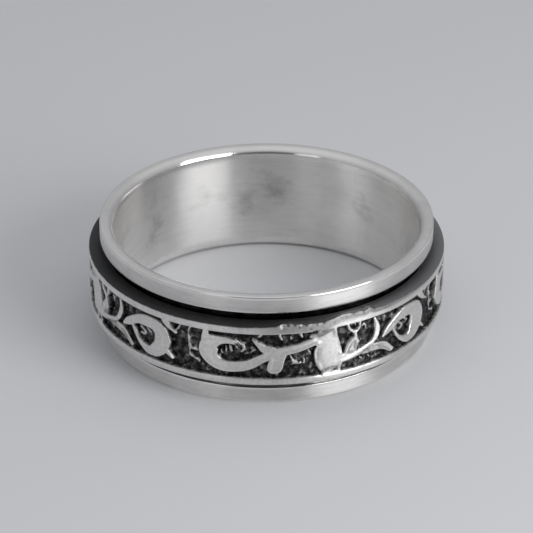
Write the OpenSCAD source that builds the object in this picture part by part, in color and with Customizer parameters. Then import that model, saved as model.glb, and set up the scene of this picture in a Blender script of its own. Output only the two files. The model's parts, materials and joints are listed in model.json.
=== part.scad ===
// Thumb ring with a spinning outer band, lying on its side. Millimetres, +Z up.
// The origin is the middle of the lower end face, and the ring's axis is Z.
// The vine is laid out flat: "along" runs round the band, "across" runs up it.

/* [Base band] */
// Inside diameter, where the finger goes
finger_d = 21.0; // [20:0.1:21.3]
// Width of the ring along the finger
ring_w = 8.0; // [7.6:0.1:9]
// Outside diameter of the two end rims
rim_d = 22.9; // [22.7:0.1:23.2]
// Width of each end rim
rim_w = 1.2; // [1:0.05:1.4]
// Outside diameter of the sleeve that the spinner turns on
sleeve_d = 22.0; // [21.8:0.1:22.2]
// Radius of the soft edge where the finger goes in
finger_edge = 0.42; // [0.3:0.01:0.45]
// Radius of the outer edge of each end face
outer_edge = 0.12; // [0.05:0.01:0.15]

/* [Spinner band] */
// Outside diameter of the spinner
spinner_d = 24.5; // [24.2:0.1:25]
// Width of the spinner, between the rims
spinner_w = 4.35; // [4.2:0.05:4.6]
// Running gap between the sleeve and the spinner, on the radius
running_gap = 0.08; // [0.05:0.01:0.1]
// Width of the plain border along each edge
border_w = 0.5; // [0.4:0.05:0.6]
// Depth of the dark ground below the vine
ground_depth = 0.4; // [0.25:0.05:0.5]
// Bevel on the spinner's outer edges
border_bevel = 0.08; // [0.04:0.01:0.12]

/* [Vine] */
// Times that the vine repeats round the band
repeats = 4; // [3:1:5]
// Points drawn between two rows of a stroke's table
curve_steps = 2; // [1:1:4]

/* [Hidden] */

$fn = 96;
mid_z = ring_w / 2;
rim_r = rim_d / 2;
finger_r = finger_d / 2;
sleeve_r = sleeve_d / 2;
spinner_r = spinner_d / 2;
spinner_bore_r = sleeve_r + running_gap;
spinner_low = mid_z - spinner_w / 2;
ground_r = spinner_r - ground_depth;

// The tables are drawn for a repeat of this length on a ground of this height
drawn_len = 19.24;
drawn_ground = 3.35;
repeat_len = PI * spinner_d / repeats;
grow_along = repeat_len / drawn_len;
grow_across = (spinner_w - 2 * border_w) / drawn_ground;

// A stroke starts this far inside the ground and is cut off at the spinner's radius
root_r = ground_r - 0.5 * (ground_r - spinner_bore_r);
stroke_h = spinner_r - root_r + 1;

// Each stroke is a table of sections: [along, across, width]
hook_scroll = [
  [ 0.55,  0.30, 0.70],
  [-0.35, -0.18, 0.62],
  [-1.15, -0.63, 0.70],
  [-2.05, -0.83, 0.74],
  [-2.95, -0.80, 0.84],
  [-3.60, -0.42, 1.02],
  [-3.88,  0.18, 1.28],
  [-3.66,  0.78, 1.14],
  [-3.10,  1.02, 0.58],
  [-2.55,  1.08, 0.42],
  [-2.05,  0.93, 0.26],
  [-1.62,  0.66, 0.18]
];
hook_horn = [
  [-3.98,  0.50, 0.80],
  [-4.08,  1.10, 0.52],
  [-4.02,  1.75, 0.34]
];
fork_spur = [
  [ 0.55,  0.28, 0.70],
  [-0.10,  0.58, 0.56],
  [-0.52,  0.92, 0.30],
  [-0.95,  1.30, 0.06]
];
fork_stub = [
  [ 0.78,  0.30, 1.10],
  [ 0.70, -0.25, 0.94],
  [ 0.54, -0.78, 1.00],
  [ 0.50, -1.08, 0.82],
  [ 0.49, -1.25, 0.36]
];
stem = [
  [ 0.35,  0.27, 0.62],
  [ 1.30,  0.42, 0.62],
  [ 2.10,  0.58, 0.60],
  [ 2.80,  0.80, 0.58],
  [ 3.50,  1.03, 0.56],
  [ 4.20,  1.25, 0.54]
];
stem_web = [
  [ 2.85,  1.30, 0.20],
  [ 3.25,  1.40, 0.50],
  [ 3.90,  1.48, 0.58],
  [ 4.50,  1.52, 0.44]
];
drop_leaf = [
  [ 4.62,  1.75, 0.12],
  [ 4.50,  1.35, 0.55],
  [ 4.32,  0.85, 1.30],
  [ 4.16,  0.25, 1.86],
  [ 4.15, -0.35, 1.92],
  [ 4.28, -0.95, 1.75],
  [ 4.36, -1.40, 1.45],
  [ 4.36, -1.75, 1.40]
];
rising_curl = [
  [ 4.90, -0.70, 0.70],
  [ 5.60, -0.66, 0.66],
  [ 6.30, -0.46, 0.78],
  [ 6.92, -0.24, 0.86],
  [ 7.38,  0.12, 0.92],
  [ 7.66,  0.58, 0.96],
  [ 7.70,  1.02, 0.77],
  [ 7.72,  1.34, 0.42],
  [ 7.70,  1.52, 0.14]
];
curl_tail = [
  [ 6.60, -0.58, 0.50],
  [ 7.30, -0.58, 0.58],
  [ 8.00, -0.62, 0.60],
  [ 8.46, -0.76, 0.60],
  [ 8.86, -1.06, 0.50],
  [ 9.20, -1.38, 0.40]
];
cell_ridge = [
  [ 5.50,  1.75, 0.19],
  [ 5.64,  1.36, 0.17],
  [ 6.04,  1.02, 0.21],
  [ 6.14,  0.58, 0.21],
  [ 6.36,  0.20, 0.15]
];
cell_branch = [
  [ 6.38,  1.75, 0.18],
  [ 6.40,  1.36, 0.16],
  [ 6.08,  1.00, 0.17]
];
cell_bud = [
  [ 6.10,  0.66, 0.24],
  [ 5.94,  0.42, 0.64],
  [ 5.85,  0.05, 0.88],
  [ 5.78, -0.45, 1.08]
];
round_scroll = [
  [ 8.28, -0.06, 0.12],
  [ 8.60,  0.18, 0.40],
  [ 9.05,  0.46, 0.60],
  [ 9.65,  0.80, 0.66],
  [10.35,  1.02, 0.78],
  [11.05,  1.00, 0.90],
  [11.62,  0.72, 1.18],
  [11.88,  0.20, 1.34],
  [11.76, -0.40, 1.28],
  [11.34, -0.90, 1.00],
  [10.80, -1.10, 0.64],
  [10.30, -0.97, 0.42]
];
scroll_return = [
  [10.80, -1.10, 0.60],
  [10.30, -0.97, 0.42],
  [ 9.90, -0.68, 0.28],
  [ 9.60, -0.32, 0.22],
  [ 9.38,  0.05, 0.20],
  [ 9.25,  0.40, 0.20]
];
scroll_thorn = [
  [12.05, -0.54, 0.40],
  [12.45, -0.84, 0.28],
  [12.78, -1.14, 0.14]
];
border_leaf = [
  [12.15,  1.75, 0.60],
  [12.52,  1.24, 0.30],
  [13.08,  0.90, 0.08]
];
VINE = [
  hook_scroll, hook_horn, fork_spur, fork_stub, stem, stem_web,
  drop_leaf, rising_curl, curl_tail, cell_ridge, cell_branch, cell_bud,
  round_scroll, scroll_return, scroll_thorn, border_leaf
];

// One smooth curve through four rows, from the second row to the third
function between(a, b, c, d, t) =
  b + 0.5 * t * ((c - a) + t * ((2 * a - 5 * b + 4 * c - d) + t * (3 * b - a - 3 * c + d)));
// A table's rows with the rows of the smooth curve between them
function smooth(rows, n) = [
  for (i = [0 : len(rows) - 2])
    for (k = [0 : n - 1])
      between(rows[max(i - 1, 0)], rows[i], rows[i + 1], rows[min(i + 2, len(rows) - 1)], k / n),
  rows[len(rows) - 1]
];
// The direction of a path at row i
function heading(path, i) =
  let (a = path[max(i - 1, 0)], b = path[min(i + 1, len(path) - 1)], d = [b[0] - a[0], b[1] - a[1]])
  d / norm(d);
// The edge of a stroke, on the left of its path for side 1 and on the right for -1
function edge(path, side) = [
  for (i = [0 : len(path) - 1])
    let (h = heading(path, i), out = side * path[i][2] / 2)
    [path[i][0] - h[1] * out, path[i][1] + h[0] * out]
];
function outline(path) =
  let (right = edge(path, -1), last = len(path) - 1)
  concat(edge(path, 1), [for (i = [last : -1 : 0]) right[i]]);
// The middle of a stroke's length along the band
function centre_along(rows) =
  let (all = [for (row = rows) row[0]]) (min(all) + max(all)) / 2;

// One stroke of the vine, standing out of the band at its own place
module stroke(rows) {
  middle = centre_along(rows);
  points = outline(smooth(rows, curve_steps));
  rotate([0, 0, middle / drawn_len * 360 / repeats])
    translate([0, -root_r, mid_z])
      rotate([90, 0, 0])
        linear_extrude(stroke_h)
          polygon([for (p = points) [(p[0] - middle) * grow_along, p[1] * grow_across]]);
}

// One repeat of the vine, its top cut to the spinner's own curve
module vine() {
  intersection() {
    translate([0, 0, spinner_low])
      cylinder(r = spinner_r, h = spinner_w);
    union()
      for (rows = VINE)
        stroke(rows);
  }
}

// The spinner without its vine: two borders with the ground between them
module spinner_hoop() {
  bevel = border_bevel;
  rotate_extrude()
    translate([0, spinner_low])
      polygon([
        [spinner_bore_r, 0],
        [spinner_r - bevel, 0],
        [spinner_r, bevel],
        [spinner_r, border_w],
        [ground_r, border_w],
        [ground_r, spinner_w - border_w],
        [spinner_r, spinner_w - border_w],
        [spinner_r, spinner_w - bevel],
        [spinner_r - bevel, spinner_w],
        [spinner_bore_r, spinner_w]
      ]);
}

module spinner_band() {
  color([0.72, 0.72, 0.72])
    union() {
      spinner_hoop();
      for (i = [0 : repeats - 1])
        rotate([0, 0, i * 360 / repeats])
          vine();
    }
}

// What a rounded edge takes off a square corner at the origin
module edge_waste(radius) {
  difference() {
    translate([-radius, -radius])
      square(2 * radius);
    translate([radius, -radius])
      circle(radius);
  }
}

// Half of the base band's section: the sleeve with one rim, seen from the middle up
module upper_section() {
  difference() {
    union() {
      translate([finger_r, 0])
        square([sleeve_r - finger_r, mid_z]);
      translate([finger_r, mid_z - rim_w])
        square([rim_r - finger_r, rim_w]);
    }
    translate([finger_r, mid_z])
      edge_waste(finger_edge);
    translate([rim_r, mid_z])
      mirror([1, 0])
        edge_waste(outer_edge);
  }
}

module base_band() {
  color([0.86, 0.86, 0.86])
    translate([0, 0, mid_z])
      rotate_extrude() {
        upper_section();
        mirror([0, 1])
          upper_section();
      }
}

base_band();
spinner_band();
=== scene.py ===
"""A silver thumb ring whose decorated outer band turns between two plain rims. It lies on its side."""

import json
import math

import bpy
import numpy as np
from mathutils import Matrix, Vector, kdtree


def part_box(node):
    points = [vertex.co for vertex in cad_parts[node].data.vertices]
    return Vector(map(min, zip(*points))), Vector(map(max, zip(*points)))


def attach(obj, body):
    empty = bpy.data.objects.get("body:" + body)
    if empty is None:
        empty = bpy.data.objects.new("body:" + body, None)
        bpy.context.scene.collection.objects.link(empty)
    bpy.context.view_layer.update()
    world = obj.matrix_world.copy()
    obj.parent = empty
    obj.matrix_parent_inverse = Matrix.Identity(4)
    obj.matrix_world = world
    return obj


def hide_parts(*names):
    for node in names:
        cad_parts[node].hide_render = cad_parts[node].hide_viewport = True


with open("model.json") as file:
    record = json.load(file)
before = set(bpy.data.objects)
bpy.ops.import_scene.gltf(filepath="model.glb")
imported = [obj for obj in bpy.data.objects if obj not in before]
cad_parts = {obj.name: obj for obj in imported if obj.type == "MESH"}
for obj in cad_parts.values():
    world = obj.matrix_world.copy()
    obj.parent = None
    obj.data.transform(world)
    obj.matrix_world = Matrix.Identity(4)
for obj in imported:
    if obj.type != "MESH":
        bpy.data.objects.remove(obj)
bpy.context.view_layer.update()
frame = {"record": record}

MM = 0.001

# Sizes in millimetres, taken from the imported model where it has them
_, base_high = (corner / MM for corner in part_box("base_band"))
spin_low, spin_high = (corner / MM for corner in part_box("spinner_band"))
finger_hole = next(m for m in frame["record"]["mounts"] if m["name"] == "finger_hole")
RING_W = round(base_high.z, 2)
MID_Z = RING_W / 2
RIM_R = round(base_high.x, 2)
FINGER_R = finger_hole["dims"]["r_mm"]
FINGER_EDGE = (RING_W - finger_hole["dims"]["length_mm"]) / 2
SPINNER_R = round(spin_high.x, 2)
SPINNER_W = round(spin_high.z - spin_low.z, 2)

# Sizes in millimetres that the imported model's boxes don't show, the same as in the part's source
RIM_W = 1.2
SLEEVE_R = 11.0
OUTER_EDGE = 0.12
SPINNER_BORE_R = 11.08
BORDER_W = 0.5
GROUND_DEPTH = 0.4
BORDER_BEVEL = 0.08
HALF_GROUND = SPINNER_W / 2 - BORDER_W

# The vine, laid out flat in millimetres: along the band, across it from its middle, and the stroke's width
REPEATS = 4
REPEAT_LEN = 2 * math.pi * SPINNER_R / REPEATS
REPEAT_START = -6.3
FLAT_TOPPED = {
    "hook_scroll": [
        (0.55, 0.30, 0.70), (-0.35, -0.18, 0.62), (-1.15, -0.63, 0.70), (-2.05, -0.83, 0.74),
        (-2.95, -0.80, 0.84), (-3.60, -0.42, 1.02), (-3.88, 0.18, 1.28), (-3.66, 0.78, 1.14),
        (-3.10, 1.02, 0.58), (-2.55, 1.08, 0.42), (-2.05, 0.93, 0.26), (-1.62, 0.66, 0.18),
    ],
    "hook_horn": [(-3.98, 0.50, 0.80), (-4.08, 1.10, 0.52), (-4.02, 1.75, 0.34)],
    "fork_spur": [(0.55, 0.28, 0.70), (-0.10, 0.58, 0.56), (-0.52, 0.92, 0.30), (-0.95, 1.30, 0.06)],
    "fork_stub": [
        (0.78, 0.30, 1.10), (0.70, -0.25, 0.94), (0.54, -0.78, 1.00), (0.50, -1.08, 0.82),
        (0.49, -1.25, 0.36),
    ],
    "stem": [
        (0.35, 0.27, 0.62), (1.30, 0.42, 0.62), (2.10, 0.58, 0.60), (2.80, 0.80, 0.58), (3.50, 1.03, 0.56),
        (4.20, 1.25, 0.54),
    ],
    "cell_ridge": [
        (5.50, 1.75, 0.19), (5.64, 1.36, 0.17), (6.04, 1.02, 0.21), (6.14, 0.58, 0.21), (6.36, 0.20, 0.15),
    ],
    "cell_branch": [(6.38, 1.75, 0.18), (6.40, 1.36, 0.16), (6.08, 1.00, 0.17)],
    "round_scroll": [
        (8.28, -0.06, 0.12), (8.60, 0.18, 0.40), (9.05, 0.46, 0.60), (9.65, 0.80, 0.66),
        (10.35, 1.02, 0.78), (11.05, 1.00, 0.90), (11.62, 0.72, 1.18), (11.88, 0.20, 1.34),
        (11.76, -0.40, 1.28), (11.34, -0.90, 1.00), (10.80, -1.10, 0.64), (10.30, -0.97, 0.42),
    ],
    "scroll_return": [
        (10.80, -1.10, 0.60), (10.30, -0.97, 0.42), (9.90, -0.68, 0.28), (9.60, -0.32, 0.22),
        (9.38, 0.05, 0.20), (9.25, 0.40, 0.20),
    ],
    "scroll_thorn": [(12.05, -0.54, 0.40), (12.45, -0.84, 0.28), (12.78, -1.14, 0.14)],
    "border_leaf": [(12.15, 1.75, 0.60), (12.52, 1.24, 0.30), (13.08, 0.90, 0.08)],
}
DOMED = {
    "drop_leaf": [
        (4.62, 1.75, 0.12), (4.50, 1.35, 0.55), (4.32, 0.85, 1.30), (4.16, 0.25, 1.86),
        (4.15, -0.35, 1.92), (4.28, -0.95, 1.75), (4.36, -1.40, 1.45), (4.36, -1.75, 1.40),
    ],
}
DISHED = {
    "cell_bud": [(6.10, 0.66, 0.24), (5.94, 0.42, 0.64), (5.85, 0.05, 0.88), (5.78, -0.45, 1.08)],
    "curl_tail": [
        (6.60, -0.58, 0.50), (7.30, -0.58, 0.58), (8.00, -0.62, 0.60), (8.46, -0.76, 0.60),
        (8.86, -1.06, 0.50), (9.20, -1.38, 0.40),
    ],
    "rising_curl": [
        (4.90, -0.70, 0.70), (5.60, -0.66, 0.66), (6.30, -0.46, 0.78), (6.92, -0.24, 0.86),
        (7.38, 0.12, 0.92), (7.66, 0.58, 0.96), (7.70, 1.02, 0.77), (7.72, 1.34, 0.42), (7.70, 1.52, 0.14),
    ],
}
WEBBED = {
    "stem_web": [(2.85, 1.30, 0.20), (3.25, 1.40, 0.50), (3.90, 1.48, 0.58), (4.50, 1.52, 0.44)],
}
VINE = {**FLAT_TOPPED, **DOMED, **DISHED, **WEBBED}
# The lines along the dished strokes that stay high
CREST = {
    "curl_tail": {
        "upper": [
            (7.50, -0.33, 0.04), (8.00, -0.36, 0.10), (8.50, -0.50, 0.06), (8.80, -0.76, 0.08),
            (9.05, -1.06, 0.12), (9.26, -1.33, 0.22),
        ],
    },
    "rising_curl": {
        "outer": [
            (4.96, -0.76, 0.36), (5.34, -0.76, 0.30), (5.78, -0.70, 0.16), (6.23, -0.56, 0.13),
            (6.68, -0.42, 0.12), (7.13, -0.26, 0.15), (7.43, -0.10, 0.22), (7.71, 0.19, 0.30),
            (7.88, 0.60, 0.34), (7.90, 0.95, 0.32), (7.82, 1.25, 0.22), (7.72, 1.48, 0.12),
        ],
    },
    "cell_bud": {
        "left": [
            (5.26, -0.56, 0.24), (5.42, -0.26, 0.22), (5.58, 0.08, 0.20), (5.80, 0.38, 0.12),
            (6.04, 0.60, 0.10),
        ],
        "right": [(6.04, 0.60, 0.10), (6.22, 0.24, 0.08), (6.40, -0.10, 0.06)],
    },
}
# How deep each dished stroke goes, how far from its crest it takes to get there,
# and how dark it is left there, by patina and by painted shade down the slope
DISH = {"cell_bud": (0.12, 0.26, 0.40), "curl_tail": (0.07, 0.18, 0.50), "rising_curl": (0.30, 0.40, 0.95)}
# The parts of a dished stroke that stay nearly level: at its root, towards the tail,
# and where the bud runs into it
LEVEL = {
    "rising_curl": {
        "root": [(4.80, -0.62, 0.84), (5.50, -0.60, 0.80)],
        "towards_tail": [
            (5.50, -1.06, 0.50), (6.30, -0.86, 0.44), (7.00, -0.62, 0.50), (7.60, -0.50, 0.60),
            (8.20, -0.50, 0.60),
        ],
        "bud": [(5.94, 0.42, 0.64), (5.85, 0.05, 0.88), (5.78, -0.45, 1.00), (5.80, -0.64, 1.00)],
    },
}
# Where the stem runs up over the web it is narrower than its outline
STEM_TOP = [
    (0.35, 0.27, 0.62), (1.30, 0.42, 0.62), (2.10, 0.58, 0.60), (2.80, 0.78, 0.54), (3.50, 0.95, 0.40),
    (4.20, 1.22, 0.36), (4.60, 1.50, 0.22),
]
# The plain-topped strokes with that narrower stem, and the web with the stem's whole outline
PLAIN_TOPS = {**FLAT_TOPPED, "stem": STEM_TOP}
UNDER_STEM = {**WEBBED, "stem": FLAT_TOPPED["stem"]}
# Strokes with a softer edge than the rest, and strokes with a crisper one
SOFT_EDGED = ("round_scroll", "scroll_return", "scroll_thorn", "border_leaf")
CRISP_EDGED = ("fork_spur", "fork_stub")
# Soft dips in the tops, such as the worn end of the hook:
# along, across, reach, depth and how dark they are left
DIPS = [(-1.70, 0.72, 0.78, 0.05, 0.95), (11.00, -0.02, 0.85, 0.18, 0.0), (9.90, 0.40, 0.55, 0.03, 0.5)]
# Thin raised veins in the dark ground: along, across and width
VEINS = {
    "gap_vein": [
        (-5.08, 1.72, 0.20), (-5.30, 1.40, 0.16), (-5.36, 1.02, 0.12), (-5.30, 0.78, 0.30),
        (-5.30, 0.50, 0.12), (-5.24, 0.12, 0.30), (-5.26, -0.24, 0.12), (-5.18, -0.52, 0.24),
        (-4.90, -0.68, 0.16), (-4.62, -0.76, 0.28), (-4.53, -0.98, 0.14),
    ],
    "gap_fork": [(-5.24, 0.02, 0.18), (-4.98, 0.00, 0.20), (-4.80, 0.00, 0.26), (-4.62, -0.12, 0.12)],
    "gap_side": [(-5.88, 1.72, 0.20), (-6.02, 1.38, 0.17), (-6.24, 1.10, 0.16), (-6.44, 0.90, 0.14)],
    "hook_grain_left": [(-2.72, 0.62, 0.10), (-2.70, 0.36, 0.14), (-2.66, 0.10, 0.10)],
    "hook_grain_middle": [(-2.46, 0.74, 0.14), (-2.39, 0.46, 0.20), (-2.30, 0.22, 0.14)],
    "hook_grain_right": [(-2.08, 0.80, 0.12), (-1.96, 0.60, 0.18), (-1.84, 0.42, 0.12)],
    "hook_fleck": [(-3.02, 0.30, 0.10), (-3.00, 0.12, 0.14), (-2.94, -0.02, 0.08)],
    "hook_tip": [
        (-2.52, 1.28, 0.10), (-2.14, 1.03, 0.24), (-1.62, 0.82, 0.22), (-1.50, 0.50, 0.20),
        (-1.70, 0.20, 0.14),
    ],
    "hook_thread": [(-1.50, 0.10, 0.10), (-1.10, 0.22, 0.10), (-0.72, 0.46, 0.12)],
    "spur_vein": [(-0.30, 1.72, 0.24), (-0.40, 1.48, 0.18), (-0.58, 1.36, 0.14)],
    "stem_tooth_left": [(0.86, 1.72, 0.20), (0.90, 1.42, 0.18), (1.04, 1.12, 0.16)],
    "stem_tooth_middle": [(1.60, 1.42, 0.10), (1.64, 1.26, 0.14), (1.60, 1.14, 0.10)],
    "stem_tooth_right": [(2.26, 1.72, 0.18), (2.30, 1.42, 0.22), (2.42, 1.24, 0.14)],
    "stub_vein": [
        (1.52, 0.02, 0.12), (1.66, -0.22, 0.14), (1.80, -0.52, 0.24), (2.04, -0.66, 0.20),
        (2.34, -0.60, 0.12),
    ],
    "stub_cross": [(1.66, -0.74, 0.12), (1.86, -0.58, 0.16), (2.00, -0.36, 0.12)],
    "stub_fleck": [(2.44, -0.24, 0.10), (2.52, -0.46, 0.16), (2.46, -0.74, 0.12)],
    "stub_grain": [(2.70, 0.32, 0.10), (2.86, 0.14, 0.16), (2.96, -0.10, 0.10)],
    "cell_ring": [(5.84, 1.46, 0.12), (5.96, 1.62, 0.14), (6.14, 1.58, 0.14), (6.20, 1.36, 0.12)],
    "cell_loop": [(6.66, 1.20, 0.14), (6.84, 1.34, 0.14), (6.98, 1.16, 0.16), (6.90, 0.92, 0.12)],
    "tail_fleck": [(6.50, -1.06, 0.08), (6.68, -1.18, 0.12), (6.80, -1.28, 0.08)],
    "tail_vein": [(7.12, -1.10, 0.06), (7.26, -1.18, 0.10), (7.34, -1.32, 0.06)],
    "scroll_curl": [
        (9.86, 0.44, 0.18), (10.12, 0.24, 0.20), (10.34, 0.02, 0.24), (10.20, -0.16, 0.22),
        (9.90, -0.10, 0.18),
    ],
    "scroll_bar": [(10.50, 0.52, 0.16), (10.68, 0.34, 0.22), (10.92, 0.16, 0.18)],
    "scroll_fleck": [(9.02, 1.70, 0.24), (9.20, 1.50, 0.18)],
}

# Sizes of the cast relief, in millimetres. A point nearer to a cut than SNAP counts as on it.
CELL = 0.084
SNAP = 0.009
WALL = 0.022
EDGE_STEPS = (0.03, 0.08)
EDGE_ROUND = 0.06
EDGE_DROP = 0.045
SOFT_ROUND = 0.13
SOFT_DROP = 0.08
CRISP_DROP = 0.015
TOP_DISH = 0.045
BORDER_CROWN = 0.06
LEAF_DROP = 0.08
LEAF_LINE = 0.05
FOOT_DEPTH = 0.05
TIP_SINK = 0.17
WEB_DROP = 0.03
VEIN_TOP = 0.20
OUTLINE_WOBBLE = 0.012
# The upper border's share of the crown
UPPER_CROWN = 0.3
# Points nearer to each other than this are welded when a strip closes, in millimetres
WELD_DISTANCE = 0.0005
# The least angle, in degrees, of the edges that stay sharp on each band
BASE_CREASE = 14
SPINNER_CREASE = 58
# Half the height that a noise covers, in millimetres, and each noise's bump size and seed
NOISE_HALF = 4
NOISE = {
    "ground": (0.5, 11), "coarse_grains": (0.34, 12), "fine_grains": (0.19, 13), "vein_tops": (0.25, 14),
    "outline": (0.45, 21), "dish": (0.35, 22), "web": (0.28, 23), "foot": (0.16, 24), "dips": (0.18, 25),
    "pushed_edge": (0.5, 31), "worn_face": (0.30, 32),
}


def smooth_path(rows, steps=8):
    """A table's rows joined by one smooth curve, with `steps` points from row to row."""
    rows = np.array(rows)
    before = np.vstack([rows[:1], rows[:-2]])
    after = np.vstack([rows[2:], rows[-1:]])
    path = []
    for a, b, c, d in zip(before, rows[:-1], rows[1:], after):
        for t in np.arange(steps) / steps:
            bend = 2 * a - 5 * b + 4 * c - d + t * (3 * b - a - 3 * c + d)
            path.append(b + 0.5 * t * ((c - a) + t * bend))
    path.append(rows[-1])
    return np.array(path)


def stroke_outline(rows):
    """The closed outline of a stroke, from its table."""
    path = smooth_path(rows)
    heading = np.gradient(path[:, :2], axis=0)
    heading /= np.linalg.norm(heading, axis=1)[:, None]
    out = np.stack([-heading[:, 1], heading[:, 0]], 1) * path[:, 2:3] / 2
    return np.vstack([path[:, :2] + out, (path[:, :2] - out)[::-1]])


def depth_inside(points, outline):
    """How far each point lies inside a closed outline, and below zero outside it."""
    start, end = outline, np.roll(outline, -1, axis=0)
    nearest = np.full(len(points), np.inf)
    turns = np.zeros(len(points), int)
    x, y = points.T
    for (x0, y0), (x1, y1) in zip(start, end):
        span = np.array([x1 - x0, y1 - y0])
        length2 = max(span @ span, 1e-12)
        t = np.clip(((x - x0) * span[0] + (y - y0) * span[1]) / length2, 0, 1)
        nearest = np.minimum(nearest, np.hypot(x - x0 - t * span[0], y - y0 - t * span[1]))
        left = (x - x0) * span[1] - (y - y0) * span[0]
        rises = (y0 <= y) & (y < y1) & (left < 0)
        falls = (y1 <= y) & (y < y0) & (left > 0)
        turns += rises.astype(int) - falls.astype(int)
    return np.where(turns != 0, nearest, -nearest)


def depth_in_strokes(strokes, points, reach=0.6):
    """The greatest depth of each point in any of the strokes, which repeat along the band."""
    deepest = np.full(len(points), -reach)
    for rows in strokes.values():
        outline = stroke_outline(rows)
        low, high = outline.min(0) - reach, outline.max(0) + reach
        for turn in (-1, 0, 1):
            shift = np.array([turn * REPEAT_LEN, 0])
            near = np.all((points > low + shift) & (points < high + shift), axis=1)
            if near.any():
                deepest[near] = np.maximum(deepest[near], depth_inside(points[near] - shift, outline))
    return deepest


def smooth_step(low, high, value):
    """0 at low, 1 at high, and an even S between them."""
    t = np.clip((value - low) / (high - low), 0, 1)
    return t * t * (3 - 2 * t)


def in_repeat(points):
    """Each point's place along the band, counted within one repeat."""
    return np.mod(points[:, 0] - REPEAT_START, REPEAT_LEN) + REPEAT_START


def past_border(points):
    """How far each point lies past the inner edge of its border, and below zero between the borders."""
    return np.abs(points[:, 1]) - HALF_GROUND


def noise_grid(points, cell, length=REPEAT_LEN):
    """How many cells a noise has each way, where each point lies among them, and in which cell."""
    along, across = max(3, round(length / cell)), int(2 * NOISE_HALF / cell) + 4
    u = (points[:, 0] - REPEAT_START) / length * along
    v = (points[:, 1] + NOISE_HALF) / cell
    return along, across, u, v, np.floor(u).astype(int), np.floor(v).astype(int)


def lattice_noise(points, cell, seed, length=REPEAT_LEN):
    """Smooth noise from -1 to 1 with bumps about one cell wide, which meets itself after a length."""
    along, across, u, v, iu, iv = noise_grid(points, cell, length)
    values = np.random.default_rng(seed).uniform(-1, 1, (along, across))
    fu, fv = smooth_step(0, 1, u - iu), smooth_step(0, 1, v - iv)

    def at(a, b):
        return values[(iu + a) % along, (iv + b) % across]

    low = at(0, 0) * (1 - fu) + at(1, 0) * fu
    high = at(0, 1) * (1 - fu) + at(1, 1) * fu
    return low * (1 - fv) + high * fv


def grains(points, cell, seed):
    """Rounded grains about one cell apart, 0 between them and up to 1 on their tops."""
    along, across, u, v, iu, iv = noise_grid(points, cell)
    draw = np.random.default_rng(seed)
    jitter = draw.uniform(0.15, 0.85, (along, across, 2))
    size = draw.uniform(0.35, 1.0, (along, across))
    best = np.zeros(len(points))
    for a in (-1, 0, 1):
        for b in (-1, 0, 1):
            column, row = (iu + a) % along, (iv + b) % across
            place = jitter[column, row]
            apart = np.hypot(iu + a + place[:, 0] - u, iv + b + place[:, 1] - v)
            best = np.maximum(best, size[column, row] * np.sqrt(np.clip(1 - (apart / 0.6) ** 2, 0, 1)))
    return best


def line_points(corners, step=0.02):
    """Points a step apart along a line of corners."""
    spans = np.linalg.norm(np.diff(corners, axis=0), axis=1)
    reach = np.concatenate([[0], np.cumsum(spans)])
    at = np.linspace(0, reach[-1], int(reach[-1] / step) + 2)
    return np.stack([np.interp(at, reach, corners[:, i]) for i in (0, 1)], 1)


def joint_outline():
    """Points along the outline that the strokes and borders have together, without the edges they cover."""
    kept = []
    for name, rows in VINE.items():
        outline = stroke_outline(rows)
        line = line_points(np.vstack([outline, outline[:1]]))
        others = {other: VINE[other] for other in VINE if other != name}
        covered = np.maximum(depth_in_strokes(others, line, 0.05), past_border(line))
        kept.append(line[covered < 0])
    for across in (-HALF_GROUND, HALF_GROUND):
        line = line_points(np.array([(REPEAT_START, across), (REPEAT_START + REPEAT_LEN, across)]))
        kept.append(line[depth_in_strokes(VINE, line, 0.05) < 0])
    line = np.vstack(kept)
    return np.vstack([line + (turn * REPEAT_LEN, 0) for turn in (-1, 0, 1)])


def raised_depth(points):
    """How far each point lies inside the raised metal of the vine and the two borders."""
    border = past_border(points)
    depth = np.maximum(depth_in_strokes(VINE, points), border)
    line = joint_outline()
    tree = kdtree.KDTree(len(line))
    for index, (along, across) in enumerate(line):
        tree.insert((along, across, 0), index)
    tree.balance()
    nearest = np.array([tree.find((along, across, 0))[2] for along, across in points])
    joint = smooth_step(0.03, 0.09, nearest) * (depth > 0)
    wobble = OUTLINE_WOBBLE * lattice_noise(points, *NOISE["outline"])
    return depth + joint * (nearest - depth) + wobble * smooth_step(0.12, 0.02, border)


def leaf_top(points):
    """The domed leaf: how deep each point is in it, how low it lies there and how dark it is left.
    The stem and the curl run into it with no step."""
    leaf = depth_in_strokes(DOMED, points)
    line = LEAF_LINE * np.exp(-(((leaf - 0.15) / 0.07) ** 2)) * smooth_step(-0.9, -0.3, points[:, 1])
    drop = LEAF_DROP * np.clip(1 - leaf / 0.6, 0, 1) ** 2 + line
    joined = depth_in_strokes({"stem": STEM_TOP, "curl": DISHED["rising_curl"]}, points, 0.7)
    drop *= smooth_step(-0.02, -0.40, joined) * smooth_step(0.05, -0.25, past_border(points))
    return leaf, drop, 0


def foot_dip(points):
    """The dip at the leaf's foot, which runs out into the lower border: its depth and its darkness."""
    along, above = in_repeat(points), points[:, 1] + HALF_GROUND
    foot = smooth_step(3.3, 3.8, along) * smooth_step(5.6, 5.0, along)
    dark = foot * smooth_step(0.74, 0.40, above) * smooth_step(-0.04, 0.04, above)
    dark *= (0.64 + 0.24 * lattice_noise(points, *NOISE["foot"])) * smooth_step(7.0, 4.4, along)
    depth = FOOT_DEPTH * foot * smooth_step(0.80, 0.30, above) * smooth_step(-0.14, 0.02, above)
    return depth, np.clip(dark, 0, 1)


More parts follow.
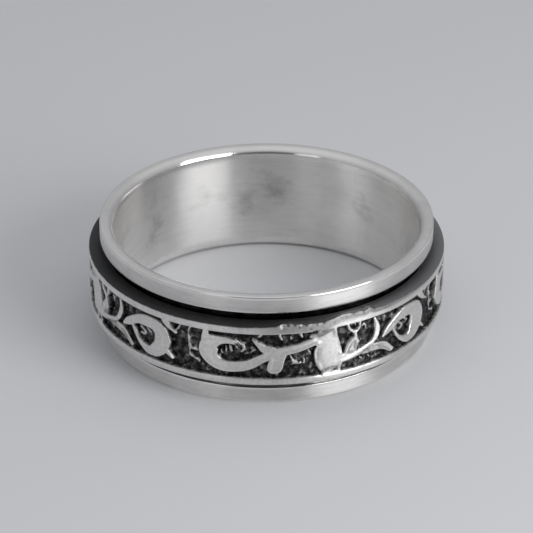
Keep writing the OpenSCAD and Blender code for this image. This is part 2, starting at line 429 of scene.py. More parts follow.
def dished_top(points, name):
    """What leaf_top gives, for a dished stroke, which slopes down from its crest."""
    depth, reach, dark = DISH[name]
    crest = depth_in_strokes(CREST[name], points, 1.4)
    level = smooth_step(-0.06, 0.06, depth_in_strokes(LEVEL.get(name, {}), points))
    drop = depth * (1 - 0.75 * level) * (1 - (1 - np.clip(-crest / reach, 0, 1)) ** 2)
    drop += 0.02 * lattice_noise(points, *NOISE["dish"]) * smooth_step(-0.05, -reach, crest)
    along = in_repeat(points)
    if name == "rising_curl":
        drop += TIP_SINK * np.clip((points[:, 1] - 0.3) / 1.1, 0, 1) * smooth_step(7.0, 7.4, along)
    # Darker down the slope away from the crest: patina, and painted shade where the slope turns from the
    # light
    dark = dark * (1 - 0.35 * level) * smooth_step(0.02, -0.22 * reach, crest) * smooth_step(5.25, 5.6, along)
    return depth_in_strokes({name: DISHED[name]}, points), drop, dark


def web_top(points):
    """What leaf_top gives, for the rough web behind the stem, which takes the stem's upper edge in."""
    along = in_repeat(points)
    share = smooth_step(1.4, 3.0, along) * smooth_step(4.9, 4.6, along)
    inside = depth_in_strokes(UNDER_STEM, points)
    dark = 0.5 * smooth_step(2.7, 3.1, along) * share
    return inside, share * (WEB_DROP + 0.015 * lattice_noise(points, *NOISE["web"])), dark


def border_crown(border, across):
    """How far the borders' outer halves round off, the lower one more than the upper."""
    return BORDER_CROWN * np.clip((border - 0.10) / 0.32, 0, 1) ** 2 * np.where(across < 0, 1, UPPER_CROWN)


def top_surface(points, raised):
    """The raised metal's top: how low it lies from the spinner's own radius, and how dark it is left."""
    border = past_border(points)
    layers = [web_top(points), leaf_top(points)]
    layers += [dished_top(points, name) for name in DISHED]
    layers.append((np.maximum(depth_in_strokes(PLAIN_TOPS, points), border), 0, 0))
    drop, dark = np.zeros(len(points)), np.zeros(len(points))
    covered = np.zeros(len(points), bool)
    for inside, own_drop, own_dark in layers:
        share = np.where(covered, smooth_step(-0.03, 0.07, inside), inside > -0.05)
        drop = drop * (1 - share) + own_drop * share
        dark = dark * (1 - share) + own_dark * share
        covered |= inside > -0.05

    soft = (border > 0) | (depth_in_strokes({name: VINE[name] for name in SOFT_EDGED}, points, 0.1) > 0)
    crisp = depth_in_strokes({name: VINE[name] for name in CRISP_EDGED}, points, 0.1) > -0.01
    rounding = np.clip(1 - raised / np.where(soft, SOFT_ROUND, EDGE_ROUND), 0, 1)
    edge_drop = np.select([soft, crisp], [SOFT_DROP, CRISP_DROP], EDGE_DROP)
    drop += edge_drop * (1 - np.sqrt(np.clip(1 - rounding**2, 0, 1)))
    drop += TOP_DISH * smooth_step(0.12, 0.34, raised) * smooth_step(0.02, -0.10, border)
    foot, foot_dark = foot_dip(points)
    drop, dark = drop + foot, np.maximum(dark, foot_dark)
    for dip_along, dip_across, reach, depth, darkness in DIPS:
        sunk = smooth_step(reach, 0.1, np.hypot(points[:, 0] - dip_along, points[:, 1] - dip_across))
        sunk *= smooth_step(-0.12, -0.22, border) * (0.85 + 0.25 * lattice_noise(points, *NOISE["dips"]))
        drop, dark = drop + depth * sunk, np.maximum(dark, darkness * np.clip(sunk, 0, 1))
    return drop + border_crown(border, points[:, 1]), dark


def relief(points, raised):
    """The spinner's outer face: its height from the spinner's radius, and how polished it is."""
    vein = depth_in_strokes(VEINS, points, 0.3)
    coarse, fine = grains(points, *NOISE["coarse_grains"]), grains(points, *NOISE["fine_grains"])
    ground = -GROUND_DEPTH + 0.03 * lattice_noise(points, *NOISE["ground"]) + 0.07 * coarse + 0.03 * fine
    vein_share = smooth_step(-0.09, 0.03, vein)
    vein_top = -VEIN_TOP + 0.035 * lattice_noise(points, *NOISE["vein_tops"])
    ground = ground * (1 - vein_share) + vein_top * vein_share
    ground_polish = 0.30 * smooth_step(0.5, 0.95, coarse) + 0.10 * smooth_step(0.6, 0.9, fine)
    ground_polish = np.maximum(ground_polish, 0.62 * smooth_step(-0.03, 0.05, vein))

    on_top = raised >= -1e-9
    drop, dark = top_surface(points, raised)
    height = np.where(on_top, -drop, ground)
    polish = np.where(on_top, (0.5 + 0.5 * smooth_step(0, 0.03, raised)) * (1 - dark), ground_polish)
    return height, polish


def cut_along(points, values, triangles):
    """Cuts the triangles where a value passes zero, so that their edges run along that line."""
    side = np.sign(values).astype(int)
    pairs = np.sort(triangles[:, [[0, 1], [1, 2], [2, 0]]].reshape(-1, 2), axis=1)
    unique, which = np.unique(pairs, axis=0, return_inverse=True)
    crossed = side[unique[:, 0]] * side[unique[:, 1]] < 0
    a, b = unique[crossed].T
    share = (values[a] / (values[a] - values[b]))[:, None]
    fresh = np.full(len(unique), -1)
    fresh[crossed] = len(points) + np.arange(crossed.sum())
    middle = fresh[which.reshape(-1)].reshape(-1, 3)
    points = np.vstack([points, points[a] * (1 - share) + points[b] * share])

    cuts = (middle >= 0).sum(1)
    parts = [triangles[cuts == 0]]
    for turn in range(3):
        corner = np.roll(triangles, -turn, axis=1)
        cut = np.roll(middle, -turn, axis=1)
        once = (cuts == 1) & (cut[:, 1] >= 0)
        lone, left, right = corner[once].T
        parts += [np.stack([lone, left, cut[once, 1]], 1), np.stack([lone, cut[once, 1], right], 1)]
        twice = (cuts == 2) & (cut[:, 1] < 0)
        lone, left, right = corner[twice].T
        on_left, on_right = cut[twice, 0], cut[twice, 2]
        parts.append(np.stack([lone, on_left, on_right], 1))
        parts += [np.stack([on_left, left, right], 1), np.stack([on_left, right, on_right], 1)]
    return points, np.vstack(parts)


def cut_at_depth(points, triangles, depth):
    """Cuts along the line where the third column, the depth in the raised metal, has one value."""
    near = np.abs(points[:, 2] - depth) < SNAP
    points[near, 2] = depth
    return cut_along(points, points[:, 2] - depth, triangles)


def cut_overlaps(points, triangles):
    """Cuts along the plain strokes' edges where they pass over the leaf, a dished stroke or the web."""
    flat = points[:, :2]
    under = depth_in_strokes({**DOMED, **DISHED, **UNDER_STEM}, flat)
    plain = depth_in_strokes(PLAIN_TOPS, flat) - 0.02
    inside = (points[:, 2] > 0.05) & (under > 0) & (np.abs(plain) > SNAP)
    return cut_along(points, np.where(inside, plain, 0), triangles)


def cut_veins(points, triangles):
    """Cuts along the edges of the veins in the ground."""
    vein = depth_in_strokes(VEINS, points[:, :2], 0.3) + 0.03
    inside = (points[:, 2] < -WALL - 0.01) & (np.abs(vein) > SNAP)
    return cut_along(points, np.where(inside, vein, 0), triangles)


def arc(centre_r, centre_z, radius, start, end, points):
    """Points on an arc of a section, in millimetres. 0 degrees points outwards and 90 up."""
    return [
        (centre_r + radius * math.cos(math.radians(a)), centre_z + radius * math.sin(math.radians(a)))
        for a in np.linspace(start, end, points)
    ]


def run(start, end, points):
    """Evenly spaced points between two points of a section, without the ends."""
    start, end = np.array(start), np.array(end)
    return [tuple(start + (end - start) * k / (points + 1)) for k in range(1, points + 1)]


def numbered(columns, rows, first=0):
    """The numbers of a sheet's points, in columns of rows."""
    return first + np.arange(columns * rows).reshape(columns, rows)


def band_quads(corner, closed):
    """The faces of a sheet of numbered points, or of a tube if its rows close."""
    here, ahead = corner[:-1], corner[1:]
    quads = np.stack([here, ahead, np.roll(ahead, -1, axis=1), np.roll(here, -1, axis=1)], -1)
    return (quads if closed else quads[:, :-1]).reshape(-1, 4)


def add_object(name, data):
    """A new object in the scene."""
    added = bpy.data.objects.new(name, data)
    bpy.context.scene.collection.objects.link(added)
    return added


def read_vectors(items, label):
    """What each point or face of a mesh has under a label, such as its place, as an array."""
    values = np.zeros(len(items) * 3)
    items.foreach_get(label, values)
    return values.reshape(-1, 3)


def read_values(mesh, label):
    """What each point of a mesh has in an attribute."""
    values = np.zeros(len(mesh.vertices), np.float32)
    mesh.attributes[label].data.foreach_get("value", values)
    return values


def write_values(mesh, label, values):
    """Gives each point of a mesh its value in an attribute, which is added if it isn't there."""
    if label not in mesh.attributes:
        mesh.attributes.new(label, "FLOAT", "POINT")
    mesh.attributes[label].data.foreach_set("value", np.asarray(values, np.float32).ravel())


def strip_object(name, points, faces, attributes):
    """A flat strip one repeat long, in millimetres: x runs along it, y is the radius and z the height."""
    mesh = bpy.data.meshes.new(name)
    mesh.from_pydata((points * MM).tolist(), [], faces)
    for label, values in attributes.items():
        write_values(mesh, label, values)
    return add_object(name, mesh)


def put(tree, socket, value):
    """Links a node's output to a socket, or sets the socket to a plain value."""
    if isinstance(value, bpy.types.NodeSocket):
        tree.links.new(value, socket)
    else:
        socket.default_value = value


def add_node(tree, kind, inputs=None, **settings):
    """The outputs of a new node, whose inputs are given by name or number."""
    node = tree.nodes.new(kind)
    for key, value in settings.items():
        setattr(node, key, value)
    for key, value in (inputs or {}).items():
        put(tree, node.inputs[key], value)
    return node.outputs


def wrap_tree():
    """Geometry Nodes that bend a flat strip round the ring's axis and repeat it into a whole band."""
    tree = bpy.data.node_groups.new("wrap_round", "GeometryNodeTree")
    sizes = {"Repeats": "Int", "Wrap radius": "Float", "Weld distance": "Float"}
    for label, kind in {"Strip": "Geometry", **sizes, "Finish": "Material"}.items():
        tree.interface.new_socket(label, in_out="INPUT", socket_type="NodeSocket" + kind)
    tree.interface.new_socket("Band", in_out="OUTPUT", socket_type="NodeSocketGeometry")

    def add(kind, **inputs):
        return add_node(tree, kind, inputs)[0]

    def maths(operation, *values):
        return add_node(tree, "ShaderNodeMath", dict(enumerate(values)), operation=operation)[0]

    given = add_node(tree, "NodeGroupInput")
    place = add_node(tree, "ShaderNodeSeparateXYZ", {0: add("GeometryNodeInputPosition")})
    turn = maths("DIVIDE", place[0], given["Wrap radius"])
    x = maths("MULTIPLY", place[1], maths("SINE", turn))
    y = maths("MULTIPLY", maths("MULTIPLY", place[1], -1.0), maths("COSINE", turn))
    bent = add("ShaderNodeCombineXYZ", X=x, Y=y, Z=place[2])
    bend = add("GeometryNodeSetPosition", Geometry=given["Strip"], Position=bent)

    places = add("GeometryNodeMeshLine", Count=given["Repeats"], Offset=(0, 0, 0))
    step = maths("DIVIDE", 2 * math.pi, given["Repeats"])
    spin = add("ShaderNodeCombineXYZ", Z=maths("MULTIPLY", add("GeometryNodeInputIndex"), step))
    copies = add("GeometryNodeInstanceOnPoints", Points=places, Instance=bend, Rotation=spin)
    real = add("GeometryNodeRealizeInstances", Geometry=copies)
    weld = add("GeometryNodeMergeByDistance", Geometry=real, Distance=given["Weld distance"])
    finish = add("GeometryNodeSetMaterial", Geometry=weld, Material=given["Finish"])
    add_node(tree, "NodeGroupOutput", {0: finish})
    return tree


def wrap_round(strip, name, repeats, wrap_radius, finish):
    """The strip made into a closed band, as a plain mesh at the origin."""
    tree = bpy.data.node_groups.get("wrap_round") or wrap_tree()
    modifier = strip.modifiers.new("wrap", "NODES")
    modifier.node_group = tree
    sockets = {s.name: s.identifier for s in tree.interface.items_tree if s.in_out == "INPUT"}
    modifier[sockets["Repeats"]] = repeats
    modifier[sockets["Wrap radius"]] = wrap_radius * MM
    modifier[sockets["Weld distance"]] = WELD_DISTANCE * MM
    modifier[sockets["Finish"]] = finish
    strip.update_tag()
    graph = bpy.context.evaluated_depsgraph_get()
    evaluated = strip.evaluated_get(graph)
    mesh = bpy.data.meshes.new_from_object(evaluated, preserve_all_data_layers=True, depsgraph=graph)
    mesh.name = name
    flat = strip.data
    bpy.data.objects.remove(strip)
    bpy.data.meshes.remove(flat)
    return add_object(name, mesh)


def finish_band(band, middle_r, crease):
    """Turns the faces outwards, and shades them smooth except at edges sharper than the crease angle."""
    mesh = band.data
    centres, normals = read_vectors(mesh.polygons, "center") / MM, read_vectors(mesh.polygons, "normal")
    radius = np.hypot(centres[:, 0], centres[:, 1])
    outward = (centres[:, 0] * normals[:, 0] + centres[:, 1] * normals[:, 1]) / radius
    outward *= np.sign(radius - middle_r)
    if outward.sum() < 0:
        mesh.flip_normals()
    mesh.shade_smooth()
    mesh.set_sharp_from_angle(angle=math.radians(crease))


def base_section():
    """The base band's closed section: (radius, height) in millimetres, and the surface of each point."""
    top, rim_low = RING_W, RING_W - RIM_W
    corner, crease = 0.05, 163
    soft_r = FINGER_EDGE / (1 - math.sin(math.radians(crease)))
    soft_mid = FINGER_R - soft_r * math.cos(math.radians(crease))
    stretches = [
        ("bore", run((FINGER_R, MID_Z), (FINGER_R, top - FINGER_EDGE), 5)),
        ("edge", arc(soft_mid, top - soft_r, soft_r, crease, 90, 11)),
        ("edge", run((soft_mid, top), (RIM_R - OUTER_EDGE, top), 2)),
        ("edge", arc(RIM_R - OUTER_EDGE, top - OUTER_EDGE, OUTER_EDGE, 90, 0, 9)),
        ("face", run((RIM_R, top - OUTER_EDGE), (RIM_R, rim_low + corner), 6)),
        ("edge", arc(RIM_R - corner, rim_low + corner, corner, 0, -90, 8)),
        ("black", run((RIM_R - corner, rim_low), (SLEEVE_R, rim_low), 2)),
        ("black", [(SLEEVE_R, rim_low)]),
        ("black", run((SLEEVE_R, rim_low), (SLEEVE_R, MID_Z), 6)),
    ]
    half = [(kind, point) for kind, points in stretches for point in points]
    mirrored = [(kind, (r, RING_W - z)) for kind, (r, z) in reversed(half)]
    return half + [("black", (SLEEVE_R, MID_Z))] + mirrored + [("bore", (FINGER_R, MID_Z))]


# Soft tarnish in the bore, which also serves as painted shade for the bore's darker reflections: degrees
# round from the front, height above the middle, the reach of each and the strength
BORE_STAINS_AND_SHADE = [
    (176, 0.9, 9, 1.5, 0.75), (187, 0.1, 9, 2.4, 0.45), (205, 0.35, 16, 0.8, 0.45), (229, -0.2, 9, 3.0, 0.40),
    (262, 0.6, 14, 1.6, 0.5), (298, -0.6, 12, 1.8, 0.5), (331, 0.8, 10, 1.4, 0.6), (12, -0.3, 16, 1.7, 0.5),
    (58, 0.7, 12, 1.5, 0.6), (97, -0.5, 15, 1.9, 0.45), (136, 0.4, 10, 1.3, 0.5),
]


def age_base(band):
    """Adds the attribute that says how tarnished each point of the bore is, its darker patches also painted
    shade, and takes about half of the black out of the lower groove, and nearly all of it on the right, as
    painted light where the light falls."""
    mesh = band.data
    places = read_vectors(mesh.vertices, "co") / MM
    angle = np.degrees(np.arctan2(places[:, 0], -places[:, 1]))
    # Less black towards the right, where the light falls: painted light
    cleaned_and_lit = 0.55 + 0.4 * smooth_step(-30, 15, angle) * smooth_step(100, 80, angle)
    cleaned_and_lit *= places[:, 2] < MID_Z
    write_values(mesh, "blackened", read_values(mesh, "blackened") * (1 - cleaned_and_lit))
    # Tarnish patches in the bore, whose darkness also serves as painted shade for its darker reflections
    tarnish_and_shade = np.zeros(len(places))
    for middle, level, reach, rise, strength in BORE_STAINS_AND_SHADE:
        round_way = np.mod(angle - middle + 180, 360) - 180
        apart = (round_way / reach) ** 2 + ((places[:, 2] - MID_Z - level) / rise) ** 2
        tarnish_and_shade = np.maximum(tarnish_and_shade, strength * np.exp(-apart))
    write_values(mesh, "tarnish_and_shade", tarnish_and_shade)


def make_base_band(finish):
    """The sleeve with its two rims, turned from one section."""
    section = base_section()
    repeats, columns = 12, 31
    along = np.linspace(0, 2 * math.pi * RIM_R / repeats, columns)
    sheet = [(a, r, z) for a in along for kind, (r, z) in section]
    marks = {
        label: [float(kind == wanted) for a in along for kind, p in section]
        for label, wanted in (("blackened", "black"), ("bore", "bore"), ("outer_face", "face"))
    }
    faces = band_quads(numbered(columns, len(section)), closed=True).tolist()
    strip = strip_object("base_strip", np.array(sheet), faces, marks)
    band = wrap_round(strip, "base_band_silver", repeats, RIM_R, finish)
    age_base(band)
    finish_band(band, (FINGER_R + RIM_R) / 2, BASE_CREASE)
    return band


def spinner_side():
    """The rest of the spinner's section, from its upper edge round the bore to its lower edge.
    With it come how polished each point is, and how much of the plain grey side it has, a grey painted darker
    on the left and lighter towards the right."""
    half_w, bevel, chamfer = SPINNER_W / 2, BORDER_BEVEL, 0.04
    polish = [0.85, 0.45, 0.2, 0.05, 0.0, 0.0, 0.0]
    grey = [0.0, 0.4, 0.7, 1.0, 1.0, 0.8, 0.4]

    def half(edge_r):
        side = arc(edge_r - bevel, half_w - bevel, bevel, 0, 90, 4) + [(edge_r - bevel - 0.08, half_w)]
        return side + [(SPINNER_BORE_R + chamfer, half_w), (SPINNER_BORE_R, half_w - chamfer)]

    upper, lower = half(SPINNER_R - BORDER_CROWN * UPPER_CROWN), half(SPINNER_R - BORDER_CROWN)
    mirrored = [(r, -z) for r, z in reversed(lower)]
    return np.array(upper + mirrored), np.array(polish + polish[::-1]), np.array(grey + grey[::-1])


def spinner_strip():
    """One repeat of the spinner as a flat strip, its outer face cut along the outlines of the vine."""
    border = HALF_GROUND + np.array([0.06, 0.12, 0.19, 0.27, 0.35])
    field = np.linspace(-HALF_GROUND, HALF_GROUND, round(2 * HALF_GROUND / CELL) + 1)
    rows = np.concatenate([-border[::-1], field, border])
    columns = round(REPEAT_LEN / CELL) + 1
    along = np.linspace(REPEAT_START, REPEAT_START + REPEAT_LEN, columns)
    flat = np.stack(np.meshgrid(along, rows, indexing="ij"), -1).reshape(-1, 2)
    corner = numbered(columns, len(rows))
    quads = band_quads(corner, closed=False)
    odd = np.add.outer(np.arange(columns - 1), np.arange(len(rows) - 1)).ravel() % 2 == 1
    one_way, other_way = quads[:, [0, 1, 2, 0, 2, 3]], quads[:, [1, 2, 3, 1, 3, 0]]
    triangles = np.where(odd[:, None], one_way, other_way).reshape(-1, 3)

    points = np.column_stack([flat, raised_depth(flat)])
    for depth in (0.0, -WALL, *EDGE_STEPS):
        points, triangles = cut_at_depth(points, triangles, depth)
    points, triangles = cut_overlaps(points, triangles)
    points, triangles = cut_veins(points, triangles)
    height, polish = relief(points[:, :2], points[:, 2])

    side, side_polish, side_grey = spinner_side()
    outer = np.column_stack([points[:, 0], SPINNER_R + height, points[:, 1] + MID_Z])
    inner = np.array([(a, r, z + MID_Z) for a in along for r, z in side])
    loop = np.hstack([corner[:, -1:], numbered(columns, len(side), len(outer)), corner[:, :1]])
    faces = triangles.tolist() + band_quads(loop, closed=False).tolist()
    marks = {
        "polish": np.concatenate([polish, np.tile(side_polish, columns)]),
        "side_grey": np.concatenate([polish * 0, np.tile(side_grey, columns)]),
    }
    return strip_object("spinner_strip", np.vstack([outer, inner]), faces, marks)


# The upper border's one worn stretch, in millimetres along the band: how far its outer edge is pushed up
# towards the rim, how far its inner edge is, and how wide a polished ridge is left along the inner edge
PUSHED_EDGE = [
    (-1.6, 0.0), (0.6, 0.09), (0.9, 0.22), (1.5, 0.28), (2.1, 0.18), (2.6, 0.13), (3.7, 0.13), (4.4, 0.25),
    (4.8, 0.34), (5.6, 0.38), (6.3, 0.33), (6.85, 0.20), (7.2, 0.37), (7.7, 0.18), (8.6, 0.12), (10.2, 0.08),
    (13.0, 0.0),
]
PUSHED_INSIDE = [(4.0, 0.0), (5.0, 0.06), (7.6, 0.06), (10.0, 0.0)]
RIDGE_LEFT = [(0.0, 0.02), (4.0, 0.04), (5.0, 0.15), (8.0, 0.19), (12.0, 0.28)]
# How worn it is along the same stretch
WORN = [(-1.0, 0.0), (0.5, 0.5), (2.5, 0.65), (4.4, 0.9), (8.0, 1.0), (10.5, 0.7), (13.5, 0.0)]
# The worn patch of the web beside it: along, across and its reach each way
WORN_WEB = (3.7, 1.5, 1.05, 0.40)
# Small dents and dark spots in the same stretch: along, across, radius, depth and darkness
SPOTS = [
    (1.12, 2.26, 0.25, 0.09, 0.0), (2.34, 2.34, 0.12, 0.06, 0.0), (1.42, 2.32, 0.17, 0.0, 0.85),
    (1.86, 2.30, 0.17, 0.0, 0.85), (1.70, 2.02, 0.15, 0.0, 0.65), (2.16, 2.12, 0.17, 0.0, 0.75),
    (2.62, 2.22, 0.17, 0.0, 0.75), (2.92, 1.96, 0.19, 0.0, 0.7), (3.24, 1.64, 0.22, 0.0, 1.0),
    (3.34, 2.12, 0.17, 0.0, 0.65), (3.80, 2.26, 0.22, 0.0, 0.65), (4.60, 2.10, 0.20, 0.0, 0.55),
    (5.90, 2.36, 0.20, 0.0, 0.55),
]


def wear_upper_border(band):
    """Pushes the upper border up over its worn stretch, and roughens, dents and darkens it."""
    mesh = band.data
    places = read_vectors(mesh.vertices, "co") / MM
    along = np.arctan2(places[:, 0], -places[:, 1]) * SPINNER_R
    above_inside = places[:, 2] - MID_Z - HALF_GROUND
    radius = np.hypot(places[:, 0], places[:, 1])
    circumference = REPEATS * REPEAT_LEN
    wobble = lattice_noise(np.stack([along, 0 * along], 1), *NOISE["pushed_edge"], circumference)
    outer_push = np.interp(along, *np.array(PUSHED_EDGE).T)
    outer_push *= 1 + 0.15 * wobble
    inner_push = np.interp(along, *np.array(PUSHED_INSIDE).T)
    push = inner_push * smooth_step(-0.45, 0, above_inside)
    push += (outer_push - inner_push) * smooth_step(0.02, BORDER_W - 0.1, above_inside)
    places[:, 2] += push * smooth_step(SPINNER_R - 0.75, SPINNER_R - 0.25, radius)

    height = places[:, 2] - MID_Z
    flat = np.stack([along, height], 1)
    on_face = smooth_step(SPINNER_R - 0.25, SPINNER_R - 0.12, radius)
    ridge = np.interp(along, *np.array(RIDGE_LEFT).T)
    rough = np.interp(along, *np.array(WORN).T) * smooth_step(ridge, ridge + 0.08, above_inside) * on_face
    web_along, web_across, reach_along, reach_across = WORN_WEB
    web = 1 - np.hypot((along - web_along) / reach_along, (height - web_across) / reach_across)
    clear_of = depth_in_strokes({"stem": STEM_TOP, **DOMED}, flat, 0.1)
    rough = np.maximum(rough, 0.8 * smooth_step(0, 0.35, web) * smooth_step(0.03, -0.05, clear_of) * on_face)
    rise = -rough * (0.012 + 0.010 * lattice_noise(flat, *NOISE["worn_face"], circumference))
    chamfer = smooth_step(4.3, 5.2, along) * smooth_step(12.0, 9.0, along)
    chamfer *= np.clip((above_inside - 0.01) / 0.11, 0, 1)
    rise -= 0.05 * chamfer * on_face
    polish = read_values(mesh, "polish")
    for spot_along, spot_across, spot_r, depth, darkness in SPOTS:
        share = np.clip(1 - np.hypot(along - spot_along, height - spot_across) / spot_r, 0, 1)
        share = share * (2 - share) * (radius > SPINNER_R - 0.2)
        rise -= depth * share
        polish *= (1 - darkness * share).astype(np.float32)
    rise = np.minimum(rise, SPINNER_R - radius)
    places[:, :2] *= (1 + rise / radius)[:, None]
    mesh.vertices.foreach_set("co", (places * MM).ravel())
    write_values(mesh, "polish", polish)
    write_values(mesh, "worn", rough)
    mesh.update()


def make_spinner_band(finish):
    """The outer band with its cast vine: one repeat is shaped flat, then wrapped round four times."""
    band = wrap_round(spinner_strip(), "spinner_band_silver", REPEATS, SPINNER_R, finish)
    wear_upper_border(band)
    finish_band(band, (SPINNER_BORE_R + SPINNER_R - GROUND_DEPTH) / 2, SPINNER_CREASE)
    return band


class Shader:
    """A short way to write a material's nodes."""

    def __init__(self, name):
        self.material = bpy.data.materials.new(name)
        self.material.use_nodes = True
        self.tree = self.material.node_tree

    def surface(self, label, value):
        """Sets or links one of the surface's own inputs."""
        put(self.tree, self.tree.nodes["Principled BSDF"].inputs[label], value)

    def add(self, kind, inputs=None, output=0, **settings):
        return add_node(self.tree, kind, inputs, **settings)[output]

    def maths(self, operation, a, b):
        return self.add("ShaderNodeMath", {0: a, 1: b}, operation=operation)

    def plus(self, a, b):
        return self.maths("ADD", a, b)

    def times(self, a, b):
        return self.maths("MULTIPLY", a, b)

    def centred(self, noise, amount):
        """A noise moved so that it lies about 0, and scaled."""
        return self.times(self.maths("SUBTRACT", noise, 0.5), amount)

    def remap(self, value, low, high, to_low, to_high):
        inputs = {"Value": value, "From Min": low, "From Max": high, "To Min": to_low, "To Max": to_high}
        return self.add("ShaderNodeMapRange", inputs, interpolation_type="SMOOTHSTEP")

    def mix(self, share, a, b):
        return self.add("ShaderNodeMix", {0: share, 6: a, 7: b}, 2, data_type="RGBA")

    def place(self, scale):
        """Object coordinates in millimetres, stretched by scale."""
        coordinates = self.add("ShaderNodeTexCoord", output="Object")
        return self.add("ShaderNodeMapping", {"Scale": [s / MM for s in scale], "Vector": coordinates})

    def noise(self, scale, detail=3.0, roughness=0.55):
        inputs = {"Vector": self.place(scale), "Scale": 1.0, "Detail": detail, "Roughness": roughness}
        return self.add("ShaderNodeTexNoise", inputs)

    def attribute(self, name):
        return self.add("ShaderNodeAttribute", output="Fac", attribute_name=name)

    def brushed_round(self, amount):
        """Fine lines that run round the ring's axis and draw each reflection out along the axis."""
        self.surface("Tangent", self.add("ShaderNodeTangent", direction_type="RADIAL", axis="Z"))
        self.surface("Anisotropic", amount)
        self.surface("Anisotropic Rotation", 0.25)

    def bump(self, height, depth, below=None):
        inputs = {"Strength": 1.0, "Distance": depth * MM, "Height": height}
        return self.add("ShaderNodeBump", inputs if below is None else {**inputs, "Normal": below})


BRIGHT_SILVER = (0.90, 0.89, 0.875, 1)
GREY_SILVER = (0.66, 0.65, 0.64, 1)
DULL_SILVER = (0.40, 0.39, 0.38, 1)
WORN_SILVER = (0.27, 0.265, 0.26, 1)
# The spinner's plain sides: a dark satin grey, with painted shade on the left and painted light towards the
# right
SIDE_GREY_SHADED = (0.085, 0.085, 0.087, 1)
SIDE_GREY_LIT = (0.36, 0.36, 0.365, 1)
BLACK_PATINA = (0.022, 0.022, 0.023, 1)
GREY_PATINA = (0.15, 0.147, 0.145, 1)
FLOOR_COLOURS = ((0.73, 0.735, 0.75, 1), (0.75, 0.755, 0.77, 1))
# The studio's surround: level with the ring, overhead, and low on the camera's side
LEVEL_GREY = (0.28, 0.285, 0.30, 1)
OVERHEAD_GREY = (0.62, 0.625, 0.64, 1)
NEAR_GREY = (0.07, 0.072, 0.075, 1)


def polished_silver():
    """Polished sterling: brushed round, smudged in the bore with tarnish that is also painted shade, and
    blackened on the sides of the groove.
    """
    s = Shader("polished_silver")
    black, bore, face = s.attribute("blackened"), s.attribute("bore"), s.attribute("outer_face")
    clouds = s.noise((0.35, 0.35, 0.35))
    scuffs = s.noise((9, 9, 9), 5.0, 0.7)
    rounds = s.noise((0.28, 0.28, 5.0), 5.0, 0.7)
    files = s.noise((0.5, 0.5, 4.5), 5.0, 0.7)
    cloudy = s.noise((0.55, 0.55, 0.75), 5.0, 0.62)
    # The bore's tarnish, whose darker patches are also painted shade
    stained_and_shaded = s.plus(s.attribute("tarnish_and_shade"), s.centred(cloudy, 1.5))
    smudges_and_shade = s.times(s.remap(stained_and_shaded, 0.20, 0.95, 0, 1), bore)

    silver = s.mix(s.remap(clouds, 0.35, 0.75, 0, 0.35), BRIGHT_SILVER, GREY_SILVER)
    silver = s.mix(s.times(s.remap(rounds, 0.40, 0.70, 0, 0.22), bore), silver, GREY_SILVER)
    silver = s.mix(s.times(s.remap(files, 0.40, 0.70, 0.15, 0.6), face), silver, GREY_SILVER)
    silver = s.mix(s.times(smudges_and_shade, 0.8), silver, DULL_SILVER)
    patina = s.mix(s.remap(s.noise((1.6, 1.6, 1.6)), 0.35, 0.7, 0, 1), BLACK_PATINA, GREY_PATINA)
    edge = s.remap(s.plus(black, s.centred(scuffs, 0.4)), 0.35, 0.65, 0, 1)
    s.surface("Base Color", s.mix(edge, silver, patina))
    s.surface("Metallic", 1.0)
    s.brushed_round(0.94)

    walls = s.maths("MAXIMUM", bore, face)
    rough = s.plus(s.remap(clouds, 0.3, 0.7, 0.14, 0.18), s.times(walls, 0.22))
    rough = s.plus(rough, s.times(bore, s.remap(rounds, 0.3, 0.7, -0.02, 0.02)))
    rough = s.plus(rough, s.times(smudges_and_shade, 0.05))
    s.surface("Roughness", rough)
    waves = s.bump(s.noise((0.22, 0.22, 0.12), 2.0), 0.08)
    streaks = s.bump(s.times(rounds, bore), 0.005, waves)
    filed = s.bump(s.times(files, face), 0.004, streaks)
    s.surface("Normal", s.bump(scuffs, 0.002, filed))
    return s.material


def oxidised_silver():
    """Silver with a blackened ground: its polish goes from 1 on the tops to 0 in the ground's hollows."""
    s = Shader("oxidised_silver")
    polish, worn, grey = s.attribute("polish"), s.attribute("worn"), s.attribute("side_grey")
    scuffs = s.noise((7, 7, 7), 5.0, 0.7)
    mottle = s.noise((2.6, 2.6, 2.6), 4.0, 0.6)
    clouds = s.noise((0.5, 0.5, 0.5))
    pitting = s.noise((5.5, 5.5, 5.5), 3.0, 0.6)
    rubbed = s.plus(polish, s.centred(mottle, 0.5))
    share = s.remap(rubbed, 0.10, 0.75, 0, 1)
    patina = s.mix(s.remap(mottle, 0.40, 0.68, 0, 1), BLACK_PATINA, GREY_PATINA)
    # The plain sides' grey runs from painted shade on the left to painted light on the right, where the light
    # falls
    towards_light = s.add("ShaderNodeSeparateXYZ", {"Vector": s.place((1, 1, 1))}, "X")
    patina = s.mix(grey, patina, s.mix(s.remap(towards_light, 3.0, 11.0, 0, 1), SIDE_GREY_SHADED, SIDE_GREY_LIT))
    silver = s.mix(s.remap(clouds, 0.35, 0.75, 0, 0.4), BRIGHT_SILVER, GREY_SILVER)
    silver = s.mix(s.remap(pitting, 0.40, 0.66, 0, 0.25), silver, DULL_SILVER)
    silver = s.mix(s.times(worn, s.remap(pitting, 0.36, 0.64, 1.0, 0.7)), silver, WORN_SILVER)
    s.surface("Base Color", s.mix(share, patina, silver))
    s.surface("Metallic", 1.0)
    s.brushed_round(0.92)
    rough = s.maths("SUBTRACT", s.remap(scuffs, 0.3, 0.75, 0.46, 0.54), s.times(share, 0.12))
    rough = s.plus(rough, s.times(worn, 0.06))
    s.surface("Roughness", rough)
    pits = s.bump(s.times(pitting, worn), 0.012, s.bump(mottle, 0.008))
    s.surface("Normal", s.bump(scuffs, 0.003, pits))
    return s.material


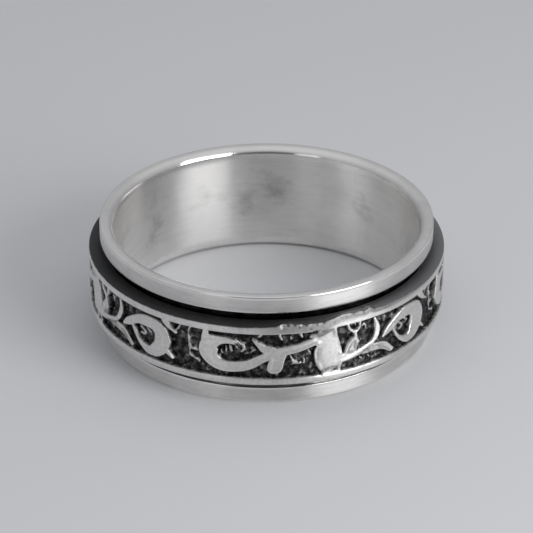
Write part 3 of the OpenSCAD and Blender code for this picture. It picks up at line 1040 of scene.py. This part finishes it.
def pale_floor():
    """A wide matt floor."""
    s = Shader("pale_floor")
    grain = s.noise((0.02, 0.02, 0.02))
    s.surface("Base Color", s.mix(grain, *FLOOR_COLOURS))
    s.surface("Roughness", 0.8)
    s.surface("Specular IOR Level", 0.2)
    return s.material


def lay_floor():
    """A square floor, in metres."""
    half = 2.0
    corners = [(-half, -half, 0), (half, -half, 0), (half, half, 0), (-half, half, 0)]
    mesh = bpy.data.meshes.new("floor")
    mesh.from_pydata(corners, [], [(0, 1, 2, 3)])
    mesh.materials.append(pale_floor())
    floor = add_object("floor", mesh)


def soft_light(name, place, size, power):
    """A softbox in millimetres that faces the ring."""
    lamp = bpy.data.lights.new(name, "AREA")
    lamp.shape = "RECTANGLE"
    lamp.size, lamp.size_y = size[0] * MM, size[1] * MM
    lamp.energy = power
    holder = add_object(name, lamp)
    holder.location = Vector(place) * MM
    holder.rotation_mode = "QUATERNION"
    holder.rotation_quaternion = (Vector((0, 0, MID_Z)) - Vector(place)).to_track_quat("-Z", "Y")
    holder.visible_camera = False


def studio_world():
    """A soft grey surround, lighter overhead and darkest low on the camera's side."""
    world = bpy.data.worlds.new("studio")
    bpy.context.scene.world = world
    world.use_nodes = True
    tree = world.node_tree
    direction = add_node(tree, "ShaderNodeTexCoord")["Generated"]
    split = add_node(tree, "ShaderNodeSeparateXYZ", {0: direction})
    climb = add_node(tree, "ShaderNodeMapRange", {"From Min": 0.0, "From Max": 1.0, "Value": split["Z"]})[0]
    blend = add_node(tree, "ShaderNodeMix", {0: climb, 6: LEVEL_GREY, 7: OVERHEAD_GREY}, data_type="RGBA")[2]
    low = {"From Min": -0.60, "From Max": -0.98, "Value": split["Y"]}
    near = add_node(tree, "ShaderNodeMapRange", low, interpolation_type="SMOOTHSTEP")[0]
    dim = add_node(tree, "ShaderNodeMix", {0: near, 6: blend, 7: NEAR_GREY}, data_type="RGBA")[2]
    background = tree.nodes["Background"].inputs
    put(tree, background["Color"], dim)
    put(tree, background["Strength"], 1.0)


def light_the_ring():
    studio_world()
    soft_light("key_light", (122, -102, 78), (115, 95), 0.15)
    soft_light("fill_light", (-90, -144, 50), (50, 80), 0.008)


def photo_camera():
    """The camera at the photograph's angle to the ring: 28.8 degrees above the ring's plane, close to it."""
    elevation = math.radians(28.8)
    distance = 162
    frame_width = 37.0
    sensor = 36.0
    data = bpy.data.cameras.new("camera")
    data.sensor_width = sensor
    data.lens = sensor * distance / frame_width
    data.clip_start = 0.01
    camera = add_object("camera", data)
    back = Vector((0, -math.cos(elevation), math.sin(elevation)))
    camera.location = (Vector((0, 0, MID_Z)) + back * distance) * MM
    camera.rotation_mode = "QUATERNION"
    camera.rotation_quaternion = (-back).to_track_quat("-Z", "Y")
    bpy.context.scene.camera = camera


photo_camera()
base_band = make_base_band(polished_silver())
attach(base_band, "base")
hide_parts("base_band")

spinner_band = make_spinner_band(oxidised_silver())
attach(spinner_band, "spinner")
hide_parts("spinner_band")

lay_floor()
light_the_ring()
bpy.context.scene.view_settings.view_transform = "Standard"
